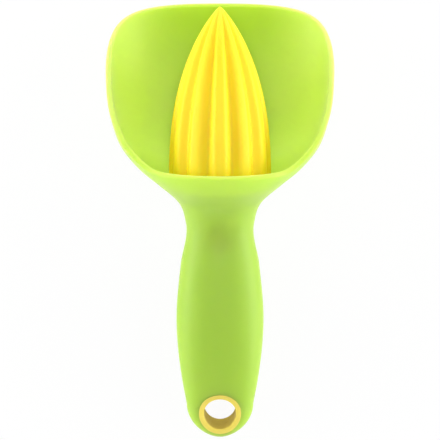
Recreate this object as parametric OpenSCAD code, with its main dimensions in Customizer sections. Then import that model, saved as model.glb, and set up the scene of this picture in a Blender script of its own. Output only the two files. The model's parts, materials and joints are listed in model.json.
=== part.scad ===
// Handheld citrus squeezer: a scoop and handle in one moulding, with a fluted reamer that pulls out.
// The tool is drawn along +Y from its handle end to its reamer tip, open side up.
// It is then tipped onto its back as it rests on a table, centred on the origin.

/* [Scoop] */
// Width of the scoop across its widest part
scoop_width = 97.2; // [92:0.2:104]
// Depth of the scoop's back behind the reamer's axis
scoop_depth = 33.5; // [31:0.5:37]
// Height of the scoop's back above the reamer's seat
scoop_height = 73.9; // [68:0.1:78]
// Height of the front lip above the reamer's seat
lip_height = 5.4; // [5:0.2:8]
// Distance from the reamer's axis to the front lip
lip_reach = 29; // [28:0.5:31]
// Depth at which the side rims turn into the front lip
lip_corner = 16.6; // [14:0.2:18]
// Wall thickness of the scoop
wall = 2.4; // [2:0.1:2.8]

/* [Handle] */
// Length of the handle below the reamer's seat
handle_length = 112.8; // [110:0.2:125]
// Width of the grip where it is fullest
grip_width = 38; // [35:0.5:42]
// Thickness of the grip where it is fullest
grip_thick = 26; // [25:0.5:30]
// Width of the neck
neck_width = 29.4; // [28:0.2:32]
// Thickness of the neck
neck_thick = 25; // [24.6:0.2:28]
// Distance of the neck below the reamer's seat
neck_below = 17.5; // [16.5:0.5:19]
// Width of the handle at the hang hole
end_width = 28.8; // [28:0.2:31]
// Thickness of the handle at the hang hole
end_thick = 15.4; // [14.6:0.2:18]
// Length over which the handle's end rounds off
end_round = 14.4; // [13.6:0.2:16]

/* [Hang hole] */
// Diameter of the hang hole
hole_d = 14; // [12:0.5:14.5]
// Distance of the hang hole's centre from the handle's end
hole_from_end = 11.6; // [11.4:0.1:14]
// Wall thickness of an eyelet's barrel
eyelet_wall = 1.2; // [1:0.1:1.4]
// Width of the ring that shows around the hang hole
eyelet_ring = 2.3; // [1.9:0.1:2.5]
// Depth of that ring below the handle's skin
ring_depth = 3.1; // [2.6:0.1:3.6]

/* [Reamer] */
// Diameter of the reamer over its ribs
reamer_d = 43.8; // [40:0.2:44.4]
// Height of the reamer above its seat
reamer_height = 74.7; // [68:0.1:82]
// Number of ribs around the reamer
rib_count = 12; // [8:1:14]
// Depth of the flutes between the ribs
flute_depth = 2.6; // [1.6:0.1:3]
// Height over which the flutes run out into the plain foot
flute_run = 5; // [4:0.5:8]
// Wall thickness of the reamer under its flutes
reamer_wall = 2; // [1.6:0.1:2.6]
// Length of the reamer's solid tip
solid_tip = 16.4; // [14:0.2:20]
// Diameter of the post inside the reamer
post_d = 8; // [6:0.5:10]
// Thickness of the crossed webs inside the reamer
web_thick = 2; // [1.6:0.1:2.6]

/* [Stem and core] */
// Diameter of the stem's round part
stem_d = 14.4; // [13.6:0.2:14.8]
// Length of the stem's round part
stem_round = 9; // [8:0.5:11]
// Size of the stem's hexagon across its flats
stem_hex = 11; // [10:0.2:11.4]
// Length of the stem's hexagon
stem_key = 15; // [12:0.5:18]
// Thickness of the shoulder over the stem
shoulder = 3; // [2:0.5:4]
// Sliding clearance of the stem in its socket, on each side
stem_fit = 0.1; // [0.06:0.02:0.1]
// Cord diameter of the stem's seal
seal_cord = 1.8; // [1.5:0.1:2]
// Diameter of the core's cup
core_d = 20; // [19.2:0.2:20.2]
// Thickness of the cup's bottom
cup_floor = 4; // [3:0.5:5]
// Thickness of the core's blade
blade_thick = 5; // [4:0.2:5.6]
// Thickness of the core's stiffening rib
core_rib = 3; // [2:0.2:4]
// Width of the core's eye around the hang hole
eye_wall = 1.4; // [1:0.1:1.8]
// Clearance of the pieces fixed in the handle, on each side
core_gap = 0.1; // [0.05:0.05:0.15]
// Gap between the reamer's foot and the scoop's floor
seat_gap = 0.4; // [0.3:0.05:0.6]

/* [Hidden] */
$fn = 96;
y_end = -handle_length;
y_hole = y_end + hole_from_end;
y_dome = y_end + end_round;
y_neck = -neck_below;
y_floor = -seat_gap;
// How much the end's outline and its thickness square off
end_outline = 2;
end_profile = 4.5;
// The scoop's back is hollowed along its length: it leans in by this much at the top of its rim
back_lean = 4.4;
// The skin that the rim trims runs on past the scoop's top
y_skin_top = scoop_height + 8;
// The rim falls slowly at the back, ever faster along the sides, and bends into the lip
rim_fall = 0.35;
rim_bend = 5;
rim_reach = scoop_depth - back_lean + lip_corner;
rim_bow = (scoop_height - lip_height - rim_fall * rim_reach) / pow(rim_reach, 2);

// Sections along the tool: place, half width, depth in front, depth behind, squareness
sections = [
  [y_dome, 0.51 * end_width, 0.52 * end_thick, 0.52 * end_thick, 2.4],
  [y_end + 0.225 * handle_length, 0.438 * grip_width, 0.39 * grip_thick, 0.39 * grip_thick, 2.3],
  [y_end + 0.47 * handle_length, 0.5 * grip_width, 0.5 * grip_thick, 0.5 * grip_thick, 2.2],
  [y_end + 0.683 * handle_length, 0.448 * grip_width, 0.495 * grip_thick, 0.495 * grip_thick, 2.15],
  [y_neck, 0.5 * neck_width, 0.5 * neck_thick, 0.5 * neck_thick, 2.1],
  [0.46 * y_neck, 0.612 * neck_width, 0.64 * neck_thick, 0.656 * neck_thick, 2.1],
  [0, 0.275 * scoop_width, 0.886 * lip_reach, 0.764 * scoop_depth, 2.1],
  [lip_height, 0.342 * scoop_width, lip_reach, 0.855 * scoop_depth, 2.15],
  [0.19 * scoop_height, 0.42 * scoop_width, 1.1 * lip_reach, 0.935 * scoop_depth, 2.2],
  [0.37 * scoop_height, 0.474 * scoop_width, 1.14 * lip_reach, 0.99 * scoop_depth, 2.3],
  [0.63 * scoop_height, 0.499 * scoop_width, 1.15 * lip_reach, 0.99 * scoop_depth, 2.33],
  [0.87 * scoop_height, 0.505 * scoop_width, 1.15 * lip_reach, scoop_depth - 0.43 * back_lean, 2.37],
  [y_skin_top, 0.508 * scoop_width, 1.15 * lip_reach, scoop_depth - 1.6 * back_lean, 2.37],
];

hole_r = hole_d / 2;
barrel_r = hole_r + eyelet_wall;
barrel_hole_r = barrel_r + core_gap / 2;
ring_r = hole_r + eyelet_ring;
ring_under = end_thick / 2 - ring_depth;
eye_r = barrel_hole_r + eye_wall;
core_r = core_d / 2;
socket_r = stem_d / 2 + stem_fit;
stem_length = stem_round + stem_key;
cup_depth = stem_length + cup_floor;
hex_r = stem_hex / 2 / cos(30);
// The seal lies in the middle of the round stem, in a groove with a little room all round
seal_room = 0.05;
seal_y = -stem_round / 2;
seal_r = socket_r - seal_room - seal_cord / 2;
hollow_top = reamer_height - solid_tip;
shoulder_r = core_r - 0.6;
// How far a cutting shape runs past the face it opens
past = 1;

// Smooth curve through one column of the sections
function last_row() = len(sections) - 1;
function step_at(i) = sections[i + 1][0] - sections[i][0];
function rise_at(i, c) = (sections[i + 1][c] - sections[i][c]) / step_at(i);
function slope_at(i, c) =
  i == 0 ? rise_at(0, c)
  : i == last_row() ? rise_at(i - 1, c)
  : (rise_at(i - 1, c) * step_at(i) + rise_at(i, c) * step_at(i - 1)) / (step_at(i) + step_at(i - 1));
function row_for(y, i = 0) = i >= last_row() - 1 || y < sections[i + 1][0] ? i : row_for(y, i + 1);
function value_at(y, c) =
  let (i = row_for(y), h = step_at(i), t = (y - sections[i][0]) / h, s = 1 - t)
  (1 + 2 * t) * s * s * sections[i][c] + t * s * s * h * slope_at(i, c)
  + t * t * (3 - 2 * t) * sections[i + 1][c] - t * t * s * h * slope_at(i + 1, c);

// The handle's end rounds off beyond the last section
function dome(y, p) = y >= y_dome ? 1 : pow(1 - pow(min(1, (y_dome - y) / end_round), p), 1 / p);
function half_width(y) = value_at(max(y, y_dome), 1) * dome(y, end_outline);
function front_depth(y) = value_at(max(y, y_dome), 2) * dome(y, end_profile);
function back_depth(y) = value_at(max(y, y_dome), 3) * dome(y, end_profile);

// Point of the outer skin at one angle around the tool
function skin(q, y) =
  let (n = value_at(max(y, y_dome), 4), c = cos(q), s = sin(q))
  let (r = pow(pow(abs(c), n) + pow(abs(s), n), -1 / n))
  [half_width(y) * c * r, y, (s > 0 ? front_depth(y) : back_depth(y)) * s * r];
function unit(v) = v / norm(v);
function along_skin(q, y) = unit(skin(q, y + 0.01) - skin(q, y - 0.01));
function off_skin(q, y) = unit(cross(along_skin(q, y), skin(q + 0.05, y) - skin(q - 0.05, y)));

// Height of the rim at a given depth, and at one angle around the tool
function rim_line(z) =
  let (d = z + scoop_depth - back_lean, h = scoop_height - rim_fall * d - rim_bow * pow(max(d, 0), 2))
  (h + lip_height + sqrt(pow(h - lip_height, 2) + pow(rim_bend, 2))) / 2;
function rim_at(q, lo = -5, hi = y_skin_top, i = 0) =
  let (m = (lo + hi) / 2)
  i > 24 ? m
  : m < rim_line(skin(q, m)[2]) ? rim_at(q, m, hi, i + 1)
  : rim_at(q, lo, m, i + 1);

// Rings of the skin: around the end, along the grip, up the scoop, over its rim and down inside
around = 60;
y_flare = 0.8 * y_neck;
y_inside = -1;
angles = [for (j = [0:around - 1]) 360 - (j + 0.5) * 360 / around];
rims = [for (q = angles) rim_at(q)];
function ring(y) = [for (q = angles) skin(q, y)];
function scoop_ring(u) = [for (j = [0:around - 1]) skin(angles[j], y_flare + (rims[j] - y_flare) * u)];
function edge_ring(a) = [
  for (j = [0:around - 1])
    let (n = off_skin(angles[j], rims[j]), t = along_skin(angles[j], rims[j]))
    skin(angles[j], rims[j]) - wall / 2 * n + wall / 2 * (cos(a) * n + sin(a) * t)
];
function inner_ring(u) = [
  for (j = [0:around - 1])
    let (y = y_inside + (rims[j] - y_inside) * u)
    skin(angles[j], y) - wall * off_skin(angles[j], y)
];
function dropped(points, y) = [for (p = points) [p[0], y, p[2]]];

grip_steps = 21;
scoop_steps = 20;
inner_steps = 16;
end_rings = [for (a = [88, 80, 70, 58, 45, 30, 15]) ring(y_dome - end_round * sin(a))];
grip_rings = [for (i = [0:grip_steps]) ring(y_dome + (y_flare - y_dome) * i / grip_steps)];
scoop_rings = [for (i = [1:scoop_steps]) scoop_ring(pow(i / scoop_steps, 1.25))];
edge_rings = [for (a = [45, 90, 135]) edge_ring(a)];
inner_rings = [for (i = [0:inner_steps]) inner_ring(1 - i / inner_steps)];
floor_ring = dropped(inner_ring(0), y_floor);

// How the tool lies on its back: on the end of its handle and the back of its scoop
function height(p, a) = p[0] * sin(a) + p[1] * cos(a);
function lowest(list, a) = let (h = [for (p = list) height(p, a)]) list[search(min(h), h)[0]];
end_line = [for (y = [y_end:0.25:-0.6 * handle_length]) [y, -back_depth(y)]];
back_line = [for (y = [0.4 * y_neck:0.25:scoop_height]) [y, -back_depth(y)]];
function rest_angle(a = 12, i = 0) =
  let (e = lowest(end_line, a), b = lowest(back_line, a))
  i > 8 ? a : rest_angle(atan2(e[1] - b[1], b[0] - e[0]), i + 1);
tilt = rest_angle();
lift = -height(lowest(back_line, tilt), tilt);
function forward(p) = p[1] * cos(tilt) - p[2] * sin(tilt);
y_front = max([for (p = edge_ring(90)) forward(p)]);
y_back = min([for (r = end_rings) for (p = r) forward(p)]);
centre = (y_front + y_back) / 2;

module at_rest() {
  translate([0, -centre, lift]) rotate([tilt, 0, 0]) children();
}

module along_y(y) {
  translate([0, y, 0]) rotate([-90, 0, 0]) children();
}

module at_hole(z) {
  translate([0, y_hole, z]) children();
}

// Solid through a stack of rings, closed at both ends
module skinned(rings) {
  n = len(rings[0]);
  last = (len(rings) - 1) * n;
  sides = [
    for (i = [0:len(rings) - 2]) for (j = [0:n - 1])
      let (a = i * n + j, b = i * n + (j + 1) % n)
      each [[a, a + n, b + n], [a, b + n, b]]
  ];
  first_cap = [for (j = [0:n - 1]) j];
  last_cap = [for (j = [n - 1:-1:0]) last + j];
  polyhedron([for (r = rings) each r], concat(sides, [first_cap, last_cap]));
}

// Cup, blade, eye and stiffening rib, grown by a gap all round
module core_body(gap) {
  along_y(-cup_depth - gap) cylinder(r = core_r + gap, h = cup_depth + gap);
  thick = blade_thick + 2 * gap;
  at_hole(-thick / 2) cylinder(r = eye_r + gap, h = thick);
  translate([-eye_r - gap, y_hole, -thick / 2]) cube([2 * (eye_r + gap), past - cup_depth - y_hole, thick]);
  rib_root = past - cup_depth;
  rib_end = y_hole + 2 * eye_r;
  deep = core_r - past + gap;
  translate([-core_rib / 2 - gap, 0, 0]) rotate([90, 0, 90]) linear_extrude(core_rib + 2 * gap)
    polygon([[rib_root, -deep], [rib_root, deep], [rib_end, thick / 2], [rib_end, -thick / 2]]);
}

module scoop_handle_form() {
  recess_r = ring_r + core_gap / 2;
  difference() {
    skinned(concat(end_rings, grip_rings, scoop_rings, edge_rings, inner_rings, [floor_ring]));
    core_body(core_gap);
    along_y(-past) cylinder(r = core_r + core_gap, h = 2 * past);
    at_hole(-end_thick) cylinder(r = barrel_hole_r, h = 2 * end_thick);
    at_hole(ring_under) cylinder(r = recess_r, h = end_thick);
    at_hole(-ring_under - end_thick) cylinder(r = recess_r, h = end_thick);
  }
}

module core_form() {
  difference() {
    core_body(0);
    along_y(-stem_round - stem_fit) cylinder(r = socket_r, h = stem_round + past);
    along_y(-stem_length - 0.5) cylinder(r = hex_r + stem_fit / cos(30), h = stem_key + past, $fn = 6);
    at_hole(-blade_thick) cylinder(r = barrel_hole_r, h = 2 * blade_thick);
  }
}

// Half of the hang hole's lining, flush with the handle's skin
module eyelet_form() {
  difference() {
    union() {
      intersection() {
        skinned(concat(end_rings, [for (i = [0:6]) grip_rings[i]]));
        at_hole(ring_under) cylinder(r = ring_r, h = end_thick);
      }
      at_hole(core_gap / 2) cylinder(r = barrel_r, h = ring_under + 0.5);
    }
    at_hole(-past) cylinder(r = hole_r, h = end_thick + 2 * past);
  }
}

// Radius of the reamer over its ribs, and how far its flutes cut in
function ogive(y) = reamer_d / 2 * pow(max(0, 1 - pow(y / reamer_height, 2.4)), 0.83);
function flute(y) =
  flute_depth * min(1, max(0, y) / flute_run) * max(0, 1 - pow(y / (0.985 * reamer_height), 4));
function fluted(q, y) =
  let (r = ogive(y) - flute(y) * pow(pow(sin(rib_count * q / 2), 2), 2.2))
  [r * sin(q), y, r * cos(q)];

module reamer_skin() {
  n = 8 * rib_count;
  steps = 21;
  heights = [for (i = [0:steps]) reamer_height * sin(88.6 * i / steps)];
  skinned([for (y = heights) [for (j = [0:n - 1]) fluted(j * 360 / n, y)]]);
}

// Room inside the reamer, narrowing to a rounded top
module reamer_hollow() {
  function room(y) = ogive(y) - flute(y) - reamer_wall;
  function top_round(y) = sqrt(1 - pow(y / hollow_top, 6));
  heights = [for (a = [0:9:90]) hollow_top * sin(a)];
  rotate([-90, 0, 0]) rotate_extrude()
    polygon(concat(
      [[0, -past], [room(0), -past]],
      [for (y = heights) [max(0.4, room(y) * top_round(y)), y]],
      [[0, hollow_top]]
    ));
}

module reamer_form() {
  difference() {
    reamer_skin();
    difference() {
      reamer_hollow();
      along_y(0) cylinder(r = shoulder_r, h = shoulder);
      along_y(past) cylinder(d = post_d, h = reamer_height);
      translate([-web_thick / 2, past, -reamer_d]) cube([web_thick, reamer_height, 2 * reamer_d]);
      translate([-reamer_d, past, -web_thick / 2]) cube([2 * reamer_d, reamer_height, web_thick]);
    }
  }
  difference() {
    along_y(-stem_round) cylinder(d = stem_d, h = stem_round + past);
    along_y(seal_y) rotate_extrude()
      translate([seal_r - seal_cord / 2 - seal_room, -seal_cord / 2 - 2 * seal_room])
        square([stem_d, seal_cord + 4 * seal_room]);
  }
  along_y(-stem_length) cylinder(r = hex_r, h = stem_key + past, $fn = 6);
}

// Scoop, neck and grip, moulded as one
module scoop_handle() {
  color("#b4d84a") at_rest() scoop_handle_form();
}

// Core inside the grip, with the reamer's socket and the eye around the hang hole
module handle_core() {
  color("#f2cf2a") at_rest() core_form();
}

// Front half of the hang hole's lining
module eyelet_front() {
  color("#f5de6c") at_rest() eyelet_form();
}

// Back half of the hang hole's lining
module eyelet_back() {
  color("#f5de6c") at_rest() mirror([0, 0, 1]) eyelet_form();
}

// Fluted reamer with its keyed stem
module reamer() {
  color("#fbd81c") at_rest() reamer_form();
}

// Seal around the stem
module stem_seal() {
  color("#e8e6dc") at_rest() along_y(seal_y) rotate_extrude()
    translate([seal_r, 0]) circle(d = seal_cord, $fn = 48);
}

scoop_handle();
handle_core();
eyelet_front();
eyelet_back();
reamer();
stem_seal();
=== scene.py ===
"""Dresses the handheld citrus squeezer: smooth moulded shells, their plastics, light and camera.

Shapes are drawn in millimetres in the tool's own frame, as the solids are: x across, y along the tool
from the handle's end to the reamer's tip with 0 at the reamer's seat, z towards the open side.
to_row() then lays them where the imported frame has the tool, in metres.
"""
import json
import math

import bmesh
import bpy
import numpy as np
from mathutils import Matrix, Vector


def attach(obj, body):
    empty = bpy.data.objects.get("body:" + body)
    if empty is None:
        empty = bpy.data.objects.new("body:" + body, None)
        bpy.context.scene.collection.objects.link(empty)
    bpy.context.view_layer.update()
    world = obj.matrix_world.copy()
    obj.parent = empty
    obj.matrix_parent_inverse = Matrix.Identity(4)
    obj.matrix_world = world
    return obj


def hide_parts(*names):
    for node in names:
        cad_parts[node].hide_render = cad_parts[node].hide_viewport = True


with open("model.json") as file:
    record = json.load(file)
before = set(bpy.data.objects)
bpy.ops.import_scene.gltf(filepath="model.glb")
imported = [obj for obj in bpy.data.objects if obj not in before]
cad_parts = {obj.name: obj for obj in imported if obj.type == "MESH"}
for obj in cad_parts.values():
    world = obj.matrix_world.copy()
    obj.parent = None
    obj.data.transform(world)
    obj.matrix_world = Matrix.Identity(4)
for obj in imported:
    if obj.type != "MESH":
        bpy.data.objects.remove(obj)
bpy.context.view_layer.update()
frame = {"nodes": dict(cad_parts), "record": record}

MM = 0.001

# Scoop sizes
SCOOP_WIDTH = 97.2
SCOOP_DEPTH = 33.5
SCOOP_HEIGHT = 73.9
LIP_HEIGHT = 5.4
LIP_REACH = 29.0
LIP_CORNER = 16.6
WALL = 2.4
SKIN_SPARE = 8
FLOOR_FILLET = 0.7

# Handle sizes
HANDLE_LENGTH = 112.8
GRIP_WIDTH = 38.0
GRIP_THICK = 26.0
NECK_WIDTH = 29.4
NECK_THICK = 25.0
NECK_BELOW = 17.5
END_WIDTH = 28.8
END_THICK = 15.4
END_ROUND = 14.4

# Hang hole sizes
HOLE_R = 7.0
HOLE_FROM_END = 11.6
BARREL_R = 8.2
RING_R = 9.3
RING_DEPTH = 3.1
RING_PROUD = 0.1
RING_EDGE = 0.35
MOUTH_EDGE = 0.8

# Reamer sizes
REAMER_R = 21.9
REAMER_HEIGHT = 74.7
REAMER_WALL = 2.0
OGIVE_BEND = 2.4
OGIVE_POINT = 0.83
RIB_COUNT = 12
RIB_SHAPE = 2.2
FLUTE_DEPTH = 2.6
FLUTE_RUN = 5.0
FLUTE_END = 0.985 * REAMER_HEIGHT
FLUTE_FADE = 4
FOOT_ROUND = 0.8
SOLID_TIP = 16.4
HOLLOW_TOP = REAMER_HEIGHT - SOLID_TIP
HOLLOW_BEND = 6
HOLLOW_LEAST = 0.4
WEB_HALF = 1.0
WEB_SINK = 0.6
WEB_INSET = 1.0
POST_R = 4.0
POST_GAP = 0.5

# Stem, socket and seal sizes
CORE_R = 10.0
CORE_GAP = 0.1
CUP_DEPTH = 28.0
SEAT_GAP = 0.4
SHOULDER_R = CORE_R - 0.6
SHOULDER_HEIGHT = 3.0
SHOULDER_EDGE = 0.3
STEM_R = 7.2
STEM_ROUND = 9.0
STEM_EDGE = 0.5
STEM_LENGTH = 24.0
STEM_HEX = 11.0
HEX_SIDES = 6
HEX_EDGE = 0.8
SEAL_CORD = 1.8
GROOVE_ROOM = 0.1

# Places along the tool, and how the rim runs
Y_END = -HANDLE_LENGTH
Y_HOLE = Y_END + HOLE_FROM_END
Y_DOME = Y_END + END_ROUND
Y_NECK = -NECK_BELOW
Y_FLARE = 0.8 * Y_NECK
Y_FLOOR = -SEAT_GAP
Y_INSIDE = -1.0
Y_RIM_LEAST = -5.0
Y_SKIN_TOP = SCOOP_HEIGHT + SKIN_SPARE
BACK_LEAN = 4.4
RIM_BEND = 5.0
RIM_FALL = 0.35
RIM_REACH = SCOOP_DEPTH - BACK_LEAN + LIP_CORNER
RIM_BOW = (SCOOP_HEIGHT - LIP_HEIGHT - RIM_FALL * RIM_REACH) / RIM_REACH**2
END_OUTLINE = 2.0
END_PROFILE = 4.5

# Sections along the tool: place, half width, depth in front, depth behind, squareness
SECTIONS = np.array([
    [Y_DOME, 0.51 * END_WIDTH, 0.52 * END_THICK, 0.52 * END_THICK, 2.4],
    [Y_END + 0.225 * HANDLE_LENGTH, 0.438 * GRIP_WIDTH, 0.39 * GRIP_THICK, 0.39 * GRIP_THICK, 2.3],
    [Y_END + 0.47 * HANDLE_LENGTH, 0.5 * GRIP_WIDTH, 0.5 * GRIP_THICK, 0.5 * GRIP_THICK, 2.2],
    [Y_END + 0.683 * HANDLE_LENGTH, 0.448 * GRIP_WIDTH, 0.495 * GRIP_THICK, 0.495 * GRIP_THICK, 2.15],
    [Y_NECK, 0.5 * NECK_WIDTH, 0.5 * NECK_THICK, 0.5 * NECK_THICK, 2.1],
    [0.46 * Y_NECK, 0.612 * NECK_WIDTH, 0.64 * NECK_THICK, 0.656 * NECK_THICK, 2.1],
    [0, 0.275 * SCOOP_WIDTH, 0.886 * LIP_REACH, 0.764 * SCOOP_DEPTH, 2.1],
    [LIP_HEIGHT, 0.342 * SCOOP_WIDTH, LIP_REACH, 0.855 * SCOOP_DEPTH, 2.15],
    [0.19 * SCOOP_HEIGHT, 0.42 * SCOOP_WIDTH, 1.1 * LIP_REACH, 0.935 * SCOOP_DEPTH, 2.2],
    [0.37 * SCOOP_HEIGHT, 0.474 * SCOOP_WIDTH, 1.14 * LIP_REACH, 0.99 * SCOOP_DEPTH, 2.3],
    [0.63 * SCOOP_HEIGHT, 0.499 * SCOOP_WIDTH, 1.15 * LIP_REACH, 0.99 * SCOOP_DEPTH, 2.33],
    [0.87 * SCOOP_HEIGHT, 0.505 * SCOOP_WIDTH, 1.15 * LIP_REACH, SCOOP_DEPTH - 0.43 * BACK_LEAN, 2.37],
    [Y_SKIN_TOP, 0.508 * SCOOP_WIDTH, 1.15 * LIP_REACH, SCOOP_DEPTH - 1.6 * BACK_LEAN, 2.37],
])
PLACE, WIDTH, FRONT, BACK, SQUARE = range(SECTIONS.shape[1])

# Mesh fineness: points around a ring, rings along a surface, and angles in degrees where caps begin or end
AROUND = 240
DOME_RINGS = 30
DOME_START = 89
DOME_STOP = 2
HANDLE_RINGS = 110
BOWL_RINGS = 120
BOWL_EASE = 1.2
RIM_STEPS = 14
INSIDE_RINGS = 90
FILLET_RINGS = 5
FLOOR_RINGS = 4
BORE_POINTS = 128
EYELET_POINTS = 192
EYELET_EDGE_RINGS = 9
EYELET_FACE_RINGS = 5
RIB_POINTS = 32
REAMER_RINGS = 170
REAMER_START = 89.4
FOOT_RINGS = 7
HOLLOW_RINGS = 40
STEM_POINTS = 96
WEB_LEVELS = 24
POST_POINTS = 64
SHARP_ANGLE = math.radians(40)

# Steps for directions on the skin, and for finding the rim
SMALL_STEP = 0.01
SMALL_TURN = 0.001
HALVINGS = 30

# Plastics: the drift of colour, the moulded grain, and where the scoop's painted glow lies (a paler green
# painted in for light through its thin walls)
DRIFT_SCALE = 38.0
DRIFT_DETAIL = 3.0
GRAIN_SCALE = 1700.0
GRAIN_DETAIL = 2.0
GRAIN_HEIGHT = 0.00008
GLOSS_DRIFT = 0.04
SHEEN_ROUGH = 0.4
# painted light: where the paler green of the scoop's painted glow sets in and fades out
GLOW_PAINT_NECK = (1.5 * Y_NECK, 0.2 * Y_NECK)
GLOW_PAINT_OFF_BACK = (12.0, 50.0)
GLOW_PAINT_TO_LIP = (66.0, 88.0)
GLOW_PAINT_AT_LIP = 0.2

# Studio: lengths in metres, levels of white from 0 to 1, the camera's lens and sensor in millimetres
FLOOR_HALF = 30.0
FLOOR_DROP = 0.0003
FLOOR_WHITE = 0.88
FLOOR_ROUGH = 0.9
FLOOR_GLOW = 0.93
WORLD_OVERHEAD = 0.16
WORLD_LOW = 0.54
HORIZON_BAND = (0.10, 0.16)
CAMERA_PLACE = (0.0, 0.0004, 0.65)
CAMERA_LENS = 118.8
CAMERA_SENSOR = 36.0
MIDDLE = (0, 0, 0.03)
SCOOP_SIDE = (0, 0.02, 0.03)

# Softboxes: name, place, target, size, power
SOFTBOXES = (
    ("softbox_left", (-1.0, 0.0, 0.22), MIDDLE, (1.2, 0.4), 8.2),
    ("softbox_right", (1.0, 0.0, 0.22), MIDDLE, (1.2, 0.4), 8.5),
    ("softbox_left_high", (-0.8, 0.0, 0.80), MIDDLE, (1.0, 0.4), 1.1),
    ("softbox_right_high", (0.8, 0.0, 0.80), MIDDLE, (1.0, 0.4), 1.7),
    ("softbox_far", (0.0, 1.0, 0.30), SCOOP_SIDE, (1.2, 0.35), 7.6),
    ("softbox_near", (0.0, -1.0, 0.28), SCOOP_SIDE, (1.2, 0.35), 2.3),
    ("softbox_overhead", (0.0, 0.0, 1.3), MIDDLE, (0.4, 0.4), 4.9),
)

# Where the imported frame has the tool: the hang hole's axis is the tool's z, the reamer's slide its y
hang_hole = next(m for m in frame["record"]["mounts"] if m["name"] == "hang_hole")
slide = next(j for j in frame["record"]["behaviour"]["joints"] if j["type"] == "slide")
TOOL_ACROSS = np.array([1.0, 0.0, 0.0])
TOOL_ALONG = np.array(slide["axis"])
TOOL_UP = np.array(hang_hole["axis"])
TOOL_ORIGIN = np.array(hang_hole["pos_m"]) - Y_HOLE * MM * TOOL_ALONG


def to_row(points):
    """Points of the tool's frame, in millimetres, as points of the row's frame, in metres."""
    p = np.asarray(points, dtype=float) * MM
    return TOOL_ORIGIN + p[..., :1] * TOOL_ACROSS + p[..., 1:2] * TOOL_ALONG + p[..., 2:] * TOOL_UP


def section_value(y, column):
    """Smooth curve through one column of the sections."""
    y = np.asarray(y, dtype=float)
    places = SECTIONS[:, PLACE]
    values = SECTIONS[:, column]
    steps = np.diff(places)
    rises = np.diff(values) / steps
    inner = (rises[:-1] * steps[1:] + rises[1:] * steps[:-1]) / (steps[1:] + steps[:-1])
    slopes = np.concatenate([rises[:1], inner, rises[-1:]])
    i = np.clip(np.searchsorted(places, y, side="right") - 1, 0, len(steps) - 1)
    h = steps[i]
    t = (y - places[i]) / h
    s = 1 - t
    start = (1 + 2 * t) * s * s * values[i] + t * s * s * h * slopes[i]
    return start + t * t * (3 - 2 * t) * values[i + 1] - t * t * s * h * slopes[i + 1]


def dome(y, power):
    """How the handle's end rounds off below the first section."""
    beyond = np.clip((Y_DOME - y) / END_ROUND, 0, 1)
    return (1 - beyond**power) ** (1 / power)


def half_sizes(y):
    """Half width, depth in front, depth behind and squareness of the skin at y."""
    held = np.maximum(y, Y_DOME)
    width = section_value(held, WIDTH) * dome(y, END_OUTLINE)
    front = section_value(held, FRONT) * dome(y, END_PROFILE)
    back = section_value(held, BACK) * dome(y, END_PROFILE)
    return width, front, back, section_value(held, SQUARE)


def skin(q, y):
    """Points of the outer skin at angles q around the tool."""
    y = np.broadcast_to(np.asarray(y, dtype=float), q.shape)
    width, front, back, n = half_sizes(y)
    c = np.cos(q)
    s = np.sin(q)
    r = (np.abs(c) ** n + np.abs(s) ** n) ** (-1 / n)
    return np.stack([width * c * r, y, np.where(s > 0, front, back) * s * r], axis=-1)


def unit(v):
    """Vectors brought to length 1."""
    return v / np.linalg.norm(v, axis=-1, keepdims=True)


def along_skin(q, y):
    """Direction of the skin towards the rim."""
    return unit(skin(q, y + SMALL_STEP) - skin(q, y - SMALL_STEP))


def off_skin(q, y):
    """Direction straight out of the skin."""
    return unit(np.cross(along_skin(q, y), skin(q + SMALL_TURN, y) - skin(q - SMALL_TURN, y)))


def rim_line(z):
    """Height of the rim at depth z."""
    d = z + SCOOP_DEPTH - BACK_LEAN
    h = SCOOP_HEIGHT - RIM_FALL * d - RIM_BOW * np.maximum(d, 0) ** 2
    return (h + LIP_HEIGHT + np.sqrt((h - LIP_HEIGHT) ** 2 + RIM_BEND**2)) / 2


def rim_heights(q):
    """Height of the rim at angles q around the tool, by halving the interval that holds it."""
    low = np.full(q.shape, Y_RIM_LEAST)
    high = np.full(q.shape, Y_SKIN_TOP)
    for _ in range(HALVINGS):
        middle = (low + high) / 2
        below = middle < rim_line(skin(q, middle)[..., 2])
        low = np.where(below, middle, low)
        high = np.where(below, high, middle)
    return (low + high) / 2


def soften(mesh):
    """Smooth shading that keeps the sharp edges."""
    mesh.shade_smooth()
    mesh.set_sharp_from_angle(angle=SHARP_ANGLE)


def new_piece(name, points, faces):
    """Smooth-shaded mesh object from points in the tool's frame."""
    mesh = bpy.data.meshes.new(name)
    mesh.from_pydata([tuple(p) for p in to_row(points)], [], faces)
    clean = bmesh.new()
    clean.from_mesh(mesh)
    bmesh.ops.recalc_face_normals(clean, faces=clean.faces)
    clean.to_mesh(mesh)
    clean.free()
    soften(mesh)
    piece = bpy.data.objects.new(name, mesh)
    bpy.context.scene.collection.objects.link(piece)
    return piece


def stacked(rings, closed_loop=False):
    """Points and faces of a skin over a stack of rings: capped at both ends, or closed on itself."""
    count = len(rings[0])
    points = [p for r in rings for p in r]
    levels = len(rings)
    faces = []
    for i in range(levels if closed_loop else levels - 1):
        a = i * count
        b = (i + 1) % levels * count
        for j in range(count):
            k = (j + 1) % count
            faces.append((a + j, b + j, b + k, a + k))
    if not closed_loop:
        for level, row in ((0, rings[0]), (levels - 1, rings[-1])):
            hub = len(points)
            points.append(np.mean(row, axis=0))
            start = level * count
            faces += [(start + j, start + (j + 1) % count, hub) for j in range(count)]
    return points, faces


def joined(points, faces, more_points, more_faces):
    """Two lists of points and faces as one."""
    shift = len(points)
    return points + more_points, faces + [tuple(v + shift for v in face) for face in more_faces]


def full_turn(count):
    """Evenly spaced angles all the way round."""
    return np.linspace(0, 2 * math.pi, count, endpoint=False)


def arc(start, stop, count):
    """Evenly spaced angles from start to stop, given in degrees."""
    return np.radians(np.linspace(start, stop, count))


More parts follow.
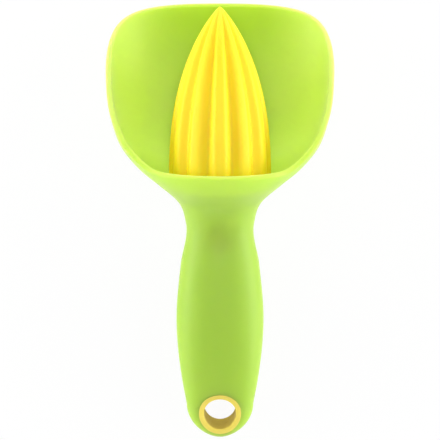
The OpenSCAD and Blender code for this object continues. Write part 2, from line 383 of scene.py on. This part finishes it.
def circle(radius, y, count, turn=0.0):
    """Ring around the tool's axis, its first point on the front where it isn't turned."""
    a = turn + full_turn(count)
    return np.stack([radius * np.sin(a), np.full(count, float(y)), radius * np.cos(a)], axis=-1)


def hole_circle(radius, z, count):
    """Ring around the hang hole's axis."""
    a = full_turn(count)
    return np.stack([radius * np.cos(a), Y_HOLE + radius * np.sin(a), np.full(count, z)], axis=-1)


def cut(piece, cutter):
    """Takes the cutter's space out of the piece, and deletes the cutter."""
    change = piece.modifiers.new("cut", "BOOLEAN")
    change.operation = "DIFFERENCE"
    change.solver = "EXACT"
    change.object = cutter
    graph = bpy.context.evaluated_depsgraph_get()
    result = bpy.data.meshes.new_from_object(piece.evaluated_get(graph))
    piece.modifiers.clear()
    piece.data = result
    bpy.data.objects.remove(cutter)
    soften(result)


def make_scoop_handle():
    """Scoop, neck and grip in one shell, with the core's pocket and the eyelets' hole."""
    q = full_turn(AROUND)
    rims = rim_heights(q)
    rings = []
    for a in arc(DOME_START, DOME_STOP, DOME_RINGS):
        rings.append(skin(q, Y_DOME - END_ROUND * math.sin(a)))
    for y in np.linspace(Y_DOME, Y_FLARE, HANDLE_RINGS):
        rings.append(skin(q, y))
    for u in np.linspace(0, 1, BOWL_RINGS + 1)[1:]:
        rings.append(skin(q, Y_FLARE + (rims - Y_FLARE) * u**BOWL_EASE))
    off = off_skin(q, rims)
    along = along_skin(q, rims)
    for a in arc(0, 180, RIM_STEPS + 1)[1:-1]:
        swing = math.cos(a) * off + math.sin(a) * along
        rings.append(skin(q, rims) - WALL / 2 * off + WALL / 2 * swing)
    for u in np.linspace(1, 0, INSIDE_RINGS):
        y = Y_INSIDE + (rims - Y_INSIDE) * u
        rings.append(skin(q, y) - WALL * off_skin(q, y))
    corner = rings[-1]
    for a in arc(0, 90, FILLET_RINGS):
        inward = unit(corner * [1, 0, 1]) * FLOOR_FILLET * (1 - math.cos(a))
        level = Y_FLOOR + FLOOR_FILLET * (1 - math.sin(a))
        rings.append((corner - inward) * [1, 0, 1] + [0, level, 0])
    outer = rings[-1]
    pocket = CORE_R + CORE_GAP
    edge = np.stack([pocket * np.cos(q), np.full(AROUND, Y_FLOOR), pocket * np.sin(q)], axis=-1)
    for t in np.linspace(0, 1, FLOOR_RINGS + 1)[1:]:
        rings.append(outer * (1 - t) + edge * t)
    rings.append(edge * [1, 0, 1] + [0, -CUP_DEPTH - CORE_GAP, 0])
    piece = new_piece("scoop_and_handle", *stacked(rings))
    bore = BARREL_R + CORE_GAP / 2
    post = [hole_circle(bore, z, BORE_POINTS) for z in (-END_THICK, END_THICK)]
    cut(piece, new_piece("bore_tool", *stacked(post)))
    return piece


def end_height(x, y):
    """Height of the handle's front skin above its middle plane near the hang hole."""
    width, front, _, n = half_sizes(y)
    return front * (1 - np.abs(x / width) ** n) ** (1 / n)


def make_eyelet(name, side):
    """Half of the hang hole's lining, its ring a little proud of the handle's skin and following it."""
    under = END_THICK / 2 - RING_DEPTH
    middle = CORE_GAP / 2
    edges = arc(0, 90, EYELET_EDGE_RINGS)
    face = np.linspace(HOLE_R + MOUTH_EDGE, RING_R - RING_EDGE, EYELET_FACE_RINGS)[1:-1]
    profile = [(HOLE_R + MOUTH_EDGE * (1 - math.cos(t)), -MOUTH_EDGE * (1 - math.sin(t))) for t in edges]
    profile += [(radius, 0.0) for radius in face]
    profile += [(RING_R - RING_EDGE * (1 - math.sin(t)), -RING_EDGE * (1 - math.cos(t))) for t in edges]
    rings = [hole_circle(HOLE_R, z, EYELET_POINTS) for z in (middle, under)]
    for radius, drop in profile:
        ring = hole_circle(radius, 0.0, EYELET_POINTS)
        ring[:, 2] = end_height(ring[:, 0], ring[:, 1]) + RING_PROUD + drop
        rings.append(ring)
    for radius, z in ((RING_R, under), (BARREL_R, under), (BARREL_R, middle)):
        rings.append(hole_circle(radius, z, EYELET_POINTS))
    points, faces = stacked([r * [1, 1, side] for r in rings], closed_loop=True)
    return new_piece(name, points, faces)


def ogive(y):
    """Radius of the reamer over its ribs."""
    return REAMER_R * np.maximum(0, 1 - (y / REAMER_HEIGHT) ** OGIVE_BEND) ** OGIVE_POINT


def flute(y):
    """Depth of the flutes between the ribs, which run out at the foot and towards the tip."""
    foot = np.clip(y / FLUTE_RUN, 0, 1)
    return FLUTE_DEPTH * foot * np.maximum(0, 1 - (y / FLUTE_END) ** FLUTE_FADE)


def fluted_ring(y, inset=0.0):
    """Ring over the ribs and down into the flutes at height y."""
    count = RIB_COUNT * RIB_POINTS
    a = full_turn(count)
    r = ogive(y) - flute(y) * (np.sin(RIB_COUNT * a / 2) ** 2) ** RIB_SHAPE - inset
    return np.stack([r * np.sin(a), np.full(count, float(y)), r * np.cos(a)], axis=-1)


def hollow_radius(y):
    """Radius of the space inside the reamer, which closes below the solid tip."""
    fall = math.sqrt(max(0.0, 1 - (y / HOLLOW_TOP) ** HOLLOW_BEND))
    return max(HOLLOW_LEAST, (ogive(y) - flute(y) - REAMER_WALL) * fall)


def make_reamer():
    """Fluted cone, hollow from below, with its foot rounded."""
    rings = []
    for a in arc(REAMER_START, 0, REAMER_RINGS):
        y = REAMER_HEIGHT * math.sin(a)
        if y > FOOT_ROUND:
            rings.append(fluted_ring(y))
    for a in arc(0, 90, FOOT_RINGS):
        rings.append(fluted_ring(FOOT_ROUND * (1 - math.sin(a)), FOOT_ROUND * (1 - math.cos(a))))
    for a in arc(0, 90, HOLLOW_RINGS):
        y = HOLLOW_TOP * math.sin(a)
        rings.append(circle(hollow_radius(y), y, RIB_COUNT * RIB_POINTS))
    return new_piece("reamer_cone", *stacked(rings))


def make_stem():
    """Round stem with the seal's groove, its shoulder under the cone, and the hexagonal key."""
    groove_y = -STEM_ROUND / 2
    groove_half = SEAL_CORD / 2 + GROOVE_ROOM
    groove_r = STEM_R - SEAL_CORD
    profile = [
        (SHOULDER_R - SHOULDER_EDGE, SHOULDER_HEIGHT),
        (SHOULDER_R, SHOULDER_HEIGHT - SHOULDER_EDGE),
        (SHOULDER_R, SHOULDER_EDGE),
        (SHOULDER_R - SHOULDER_EDGE, 0.0),
        (STEM_R, 0.0),
        (STEM_R, groove_y + groove_half),
        (groove_r, groove_y + groove_half),
        (groove_r, groove_y - groove_half),
        (STEM_R, groove_y - groove_half),
        (STEM_R, STEM_EDGE - STEM_ROUND),
        (STEM_R - STEM_EDGE, -STEM_ROUND),
    ]
    half_side = math.pi / HEX_SIDES
    corner = STEM_HEX / 2 / math.cos(half_side)
    key_profile = [
        (corner, STEM_EDGE - STEM_ROUND),
        (corner, HEX_EDGE - STEM_LENGTH),
        (corner - HEX_EDGE, -STEM_LENGTH),
    ]
    stem = stacked([circle(r, y, STEM_POINTS) for r, y in profile])
    key = stacked([circle(r, y, HEX_SIDES, half_side) for r, y in key_profile])
    return new_piece("reamer_stem", *joined(*stem, *key))


def make_web():
    """Cross of thin walls and the post that stiffen the hollow cone."""
    heights = np.linspace(WEB_INSET, HOLLOW_TOP - WEB_INSET, WEB_LEVELS)
    right = [(hollow_radius(y) + WEB_SINK, y) for y in heights]
    outline = right + [(-w, y) for w, y in right[::-1]]
    count = len(outline)
    points = []
    faces = []
    for crossed in (False, True):
        shift = len(points)
        for thick in (-WEB_HALF, WEB_HALF):
            points += [(thick, y, w) if crossed else (w, y, thick) for w, y in outline]
        faces.append(tuple(shift + j for j in range(count)))
        faces.append(tuple(shift + count + j for j in range(count)))
        for j in range(count):
            k = (j + 1) % count
            faces.append((shift + j, shift + k, shift + count + k, shift + count + j))
    post = stacked([circle(POST_R, y, POST_POINTS) for y in (WEB_INSET, HOLLOW_TOP - POST_GAP)])
    return new_piece("reamer_web", *joined(points, faces, *post))


def noise(tree, place, scale, detail):
    """Output of a noise texture at a place."""
    node = tree.nodes.new("ShaderNodeTexNoise")
    node.inputs["Scale"].default_value = scale
    node.inputs["Detail"].default_value = detail
    tree.links.new(place, node.inputs["Vector"])
    return node.outputs["Fac"]


def ramp(tree, value, start, stop, low=0.0, high=1.0, smooth=False):
    """Output that goes from low to high while the value goes from start to stop."""
    node = tree.nodes.new("ShaderNodeMapRange")
    node.interpolation_type = "SMOOTHSTEP" if smooth else "LINEAR"
    node.inputs["From Min"].default_value = start
    node.inputs["From Max"].default_value = stop
    node.inputs["To Min"].default_value = low
    node.inputs["To Max"].default_value = high
    tree.links.new(value, node.inputs["Value"])
    return node.outputs["Result"]


def combined(tree, operation, first, second):
    """Output of a math node on two outputs."""
    node = tree.nodes.new("ShaderNodeMath")
    node.operation = operation
    tree.links.new(first, node.inputs[0])
    tree.links.new(second, node.inputs[1])
    return node.outputs["Value"]


def colour_mix(tree, share):
    """Mix node for two colours by a share."""
    node = tree.nodes.new("ShaderNodeMix")
    node.data_type = "RGBA"
    tree.links.new(share, node.inputs["Factor"])
    return node


def plastic(name, colour, deep, rough, shine, sheen, soft, depth, reach, grain):
    """Satin moulded plastic: a faint drift of colour, a fine grain and a soft, slightly milky body."""
    material = bpy.data.materials.new(name)
    material.use_nodes = True
    tree = material.node_tree
    shader = tree.nodes["Principled BSDF"]
    place = tree.nodes.new("ShaderNodeTexCoord").outputs["Object"]
    blend = colour_mix(tree, noise(tree, place, DRIFT_SCALE, DRIFT_DETAIL))
    blend.inputs["A"].default_value = (*colour, 1.0)
    blend.inputs["B"].default_value = (*deep, 1.0)
    tree.links.new(blend.outputs["Result"], shader.inputs["Base Color"])
    fine = noise(tree, place, GRAIN_SCALE, GRAIN_DETAIL)
    gloss = ramp(tree, fine, 0.0, 1.0, rough - GLOSS_DRIFT, rough + GLOSS_DRIFT)
    tree.links.new(gloss, shader.inputs["Roughness"])
    bump = tree.nodes.new("ShaderNodeBump")
    bump.inputs["Strength"].default_value = grain
    bump.inputs["Distance"].default_value = GRAIN_HEIGHT
    tree.links.new(fine, bump.inputs["Height"])
    tree.links.new(bump.outputs["Normal"], shader.inputs["Normal"])
    shader.inputs["Specular IOR Level"].default_value = shine
    shader.inputs["Sheen Weight"].default_value = sheen
    shader.inputs["Sheen Roughness"].default_value = SHEEN_ROUGH
    shader.inputs["Subsurface Weight"].default_value = soft
    shader.inputs["Subsurface Radius"].default_value = reach
    shader.inputs["Subsurface Scale"].default_value = depth
    return material


def paint_scoop_glow(material, thin):
    """The scoop's thin walls let light through. On top of that, a paler green is painted into them as
    painted light, a glow that the solid handle doesn't get.

    The painted glow sets in past the neck, and fades out towards the top of the back and the front lip.
    """
    tree = material.node_tree
    base = tree.nodes["Principled BSDF"].inputs["Base Color"]
    solid = base.links[0].from_socket
    place = tree.nodes.new("ShaderNodeTexCoord").outputs["Object"]
    split = tree.nodes.new("ShaderNodeSeparateXYZ")
    tree.links.new(place, split.inputs["Vector"])
    neck_start, neck_stop = (to_row([0, y, 0])[1] for y in GLOW_PAINT_NECK)
    past_neck = ramp(tree, split.outputs["Y"], neck_start, neck_stop, smooth=True)
    apart = tree.nodes.new("ShaderNodeVectorMath")
    apart.operation = "DISTANCE"
    tree.links.new(place, apart.inputs[0])
    apart.inputs[1].default_value = to_row([0, SCOOP_HEIGHT, BACK_LEAN - SCOOP_DEPTH])
    from_back = apart.outputs["Value"]
    back_start, back_stop = (d * MM for d in GLOW_PAINT_OFF_BACK)
    off_back = ramp(tree, from_back, back_start, back_stop, smooth=True)
    lip_start, lip_stop = (d * MM for d in GLOW_PAINT_TO_LIP)
    to_lip = ramp(tree, from_back, lip_start, lip_stop, 1.0, GLOW_PAINT_AT_LIP, smooth=True)
    bowl = combined(tree, "MULTIPLY", off_back, to_lip)
    blend = colour_mix(tree, combined(tree, "MULTIPLY", past_neck, bowl))
    blend.inputs["B"].default_value = (*thin, 1.0)
    tree.links.new(solid, blend.inputs["A"])
    tree.links.new(blend.outputs["Result"], base)


def dress(piece, material):
    """Gives a piece one material."""
    piece.data.materials.clear()
    piece.data.materials.append(material)


green = plastic(
    "body_green", (0.37, 0.58, 0.043), (0.355, 0.56, 0.039), rough=0.52, shine=0.5, sheen=0.15,
    soft=1.0, depth=0.010, reach=(0.95, 1.0, 0.5), grain=0.25,
)
# painted light: a paler green painted into the scoop as a glow of light through its thin walls
paint_scoop_glow(green, (0.47, 0.67, 0.140))
yellow = plastic(
    "reamer_yellow", (0.98, 0.72, 0.007), (0.96, 0.69, 0.006), rough=0.54, shine=0.4, sheen=0.0,
    soft=0.5, depth=0.002, reach=(1.0, 0.5, 0.15), grain=0.2,
)
pale = plastic(
    "ring_yellow", (0.80, 0.66, 0.120), (0.77, 0.63, 0.110), rough=0.60, shine=0.15, sheen=0.0,
    soft=0.2, depth=0.001, reach=(1.0, 1.0, 0.5), grain=0.2,
)
core = plastic(
    "core_yellow", (0.90, 0.64, 0.030), (0.87, 0.60, 0.025), rough=0.45, shine=0.4, sheen=0.0,
    soft=0.3, depth=0.002, reach=(1.0, 0.5, 0.15), grain=0.25,
)
silicone = plastic(
    "seal_silicone", (0.80, 0.79, 0.720), (0.77, 0.76, 0.690), rough=0.55, shine=0.4, sheen=0.2,
    soft=0.5, depth=0.002, reach=(1.0, 1.0, 1.0), grain=0.3,
)

body = make_scoop_handle()
dress(body, green)
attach(body, "body")
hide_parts("scoop_handle")

for eyelet_name, eyelet_side in (("eyelet_front", 1), ("eyelet_back", -1)):
    eyelet = make_eyelet(eyelet_name + "_ring", eyelet_side)
    dress(eyelet, pale)
    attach(eyelet, "body")
    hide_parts(eyelet_name)

for part in (make_reamer(), make_stem(), make_web()):
    dress(part, yellow)
    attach(part, "reamer_unit")
    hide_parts("reamer")

dress(frame["nodes"]["handle_core"], core)
dress(frame["nodes"]["stem_seal"], silicone)


def seen_directly(tree):
    """1 where a camera, glossy or transmission ray looks, 0 for light that falls on the object."""
    path = tree.nodes.new("ShaderNodeLightPath")
    seen = path.outputs["Is Camera Ray"]
    for ray in ("Is Glossy Ray", "Is Transmission Ray"):
        seen = combined(tree, "MAXIMUM", seen, path.outputs[ray])
    return seen


def make_floor():
    """White floor that glows to the camera, so that it looks white and still keeps a faint shadow."""
    half = FLOOR_HALF
    corners = [(-half, -half, 0), (half, -half, 0), (half, half, 0), (-half, half, 0)]
    mesh = bpy.data.meshes.new("floor")
    mesh.from_pydata(corners, [], [(0, 1, 2, 3)])
    floor = bpy.data.objects.new("floor", mesh)
    floor.location.z = -FLOOR_DROP
    bpy.context.scene.collection.objects.link(floor)
    material = bpy.data.materials.new("floor_white")
    material.use_nodes = True
    tree = material.node_tree
    shader = tree.nodes["Principled BSDF"]
    shader.inputs["Base Color"].default_value = (FLOOR_WHITE, FLOOR_WHITE, FLOOR_WHITE, 1)
    shader.inputs["Roughness"].default_value = FLOOR_ROUGH
    shader.inputs["Specular IOR Level"].default_value = 0.0
    glow = tree.nodes.new("ShaderNodeEmission")
    glow.inputs["Strength"].default_value = 1.0
    share = ramp(tree, seen_directly(tree), 0.0, 1.0, 0.0, FLOOR_GLOW)
    mix = tree.nodes.new("ShaderNodeMixShader")
    tree.links.new(share, mix.inputs["Fac"])
    tree.links.new(shader.outputs["BSDF"], mix.inputs[1])
    tree.links.new(glow.outputs["Emission"], mix.inputs[2])
    tree.links.new(mix.outputs["Shader"], tree.nodes["Material Output"].inputs["Surface"])
    mesh.materials.append(material)


def make_world():
    """White surroundings: a level overhead, another low down, and full white in a band at the horizon."""
    world = bpy.data.worlds.new("studio")
    bpy.context.scene.world = world
    world.use_nodes = True
    tree = world.node_tree
    back = tree.nodes["Background"]
    back.inputs["Color"].default_value = (1, 1, 1, 1)
    place = tree.nodes.new("ShaderNodeTexCoord").outputs["Generated"]
    split = tree.nodes.new("ShaderNodeSeparateXYZ")
    tree.links.new(place, split.inputs["Vector"])
    height = split.outputs["Z"]
    rise = ramp(tree, height, 0.0, 1.0, WORLD_LOW, WORLD_OVERHEAD)
    band = ramp(tree, height, *HORIZON_BAND, 1.0, 0.0)
    tree.links.new(combined(tree, "MAXIMUM", rise, band), back.inputs["Strength"])


def make_softbox(name, place, target, size, power):
    """Rectangular lamp that faces its target."""
    lamp = bpy.data.lights.new(name, "AREA")
    lamp.shape = "RECTANGLE"
    lamp.size, lamp.size_y = size
    lamp.energy = power
    box = bpy.data.objects.new(name, lamp)
    box.location = place
    box.rotation_euler = (Vector(target) - Vector(place)).to_track_quat("-Z", "Y").to_euler()
    bpy.context.scene.collection.objects.link(box)


def make_camera():
    """Straight above the tool, with the handle towards the bottom of the picture."""
    data = bpy.data.cameras.new("camera")
    data.sensor_fit = "HORIZONTAL"
    data.sensor_width = CAMERA_SENSOR
    data.lens = CAMERA_LENS
    camera = bpy.data.objects.new("camera", data)
    camera.location = CAMERA_PLACE
    bpy.context.scene.collection.objects.link(camera)
    bpy.context.scene.camera = camera


make_floor()
make_world()
for softbox in SOFTBOXES:
    make_softbox(*softbox)
make_camera()
bpy.context.scene.view_settings.view_transform = "Standard"
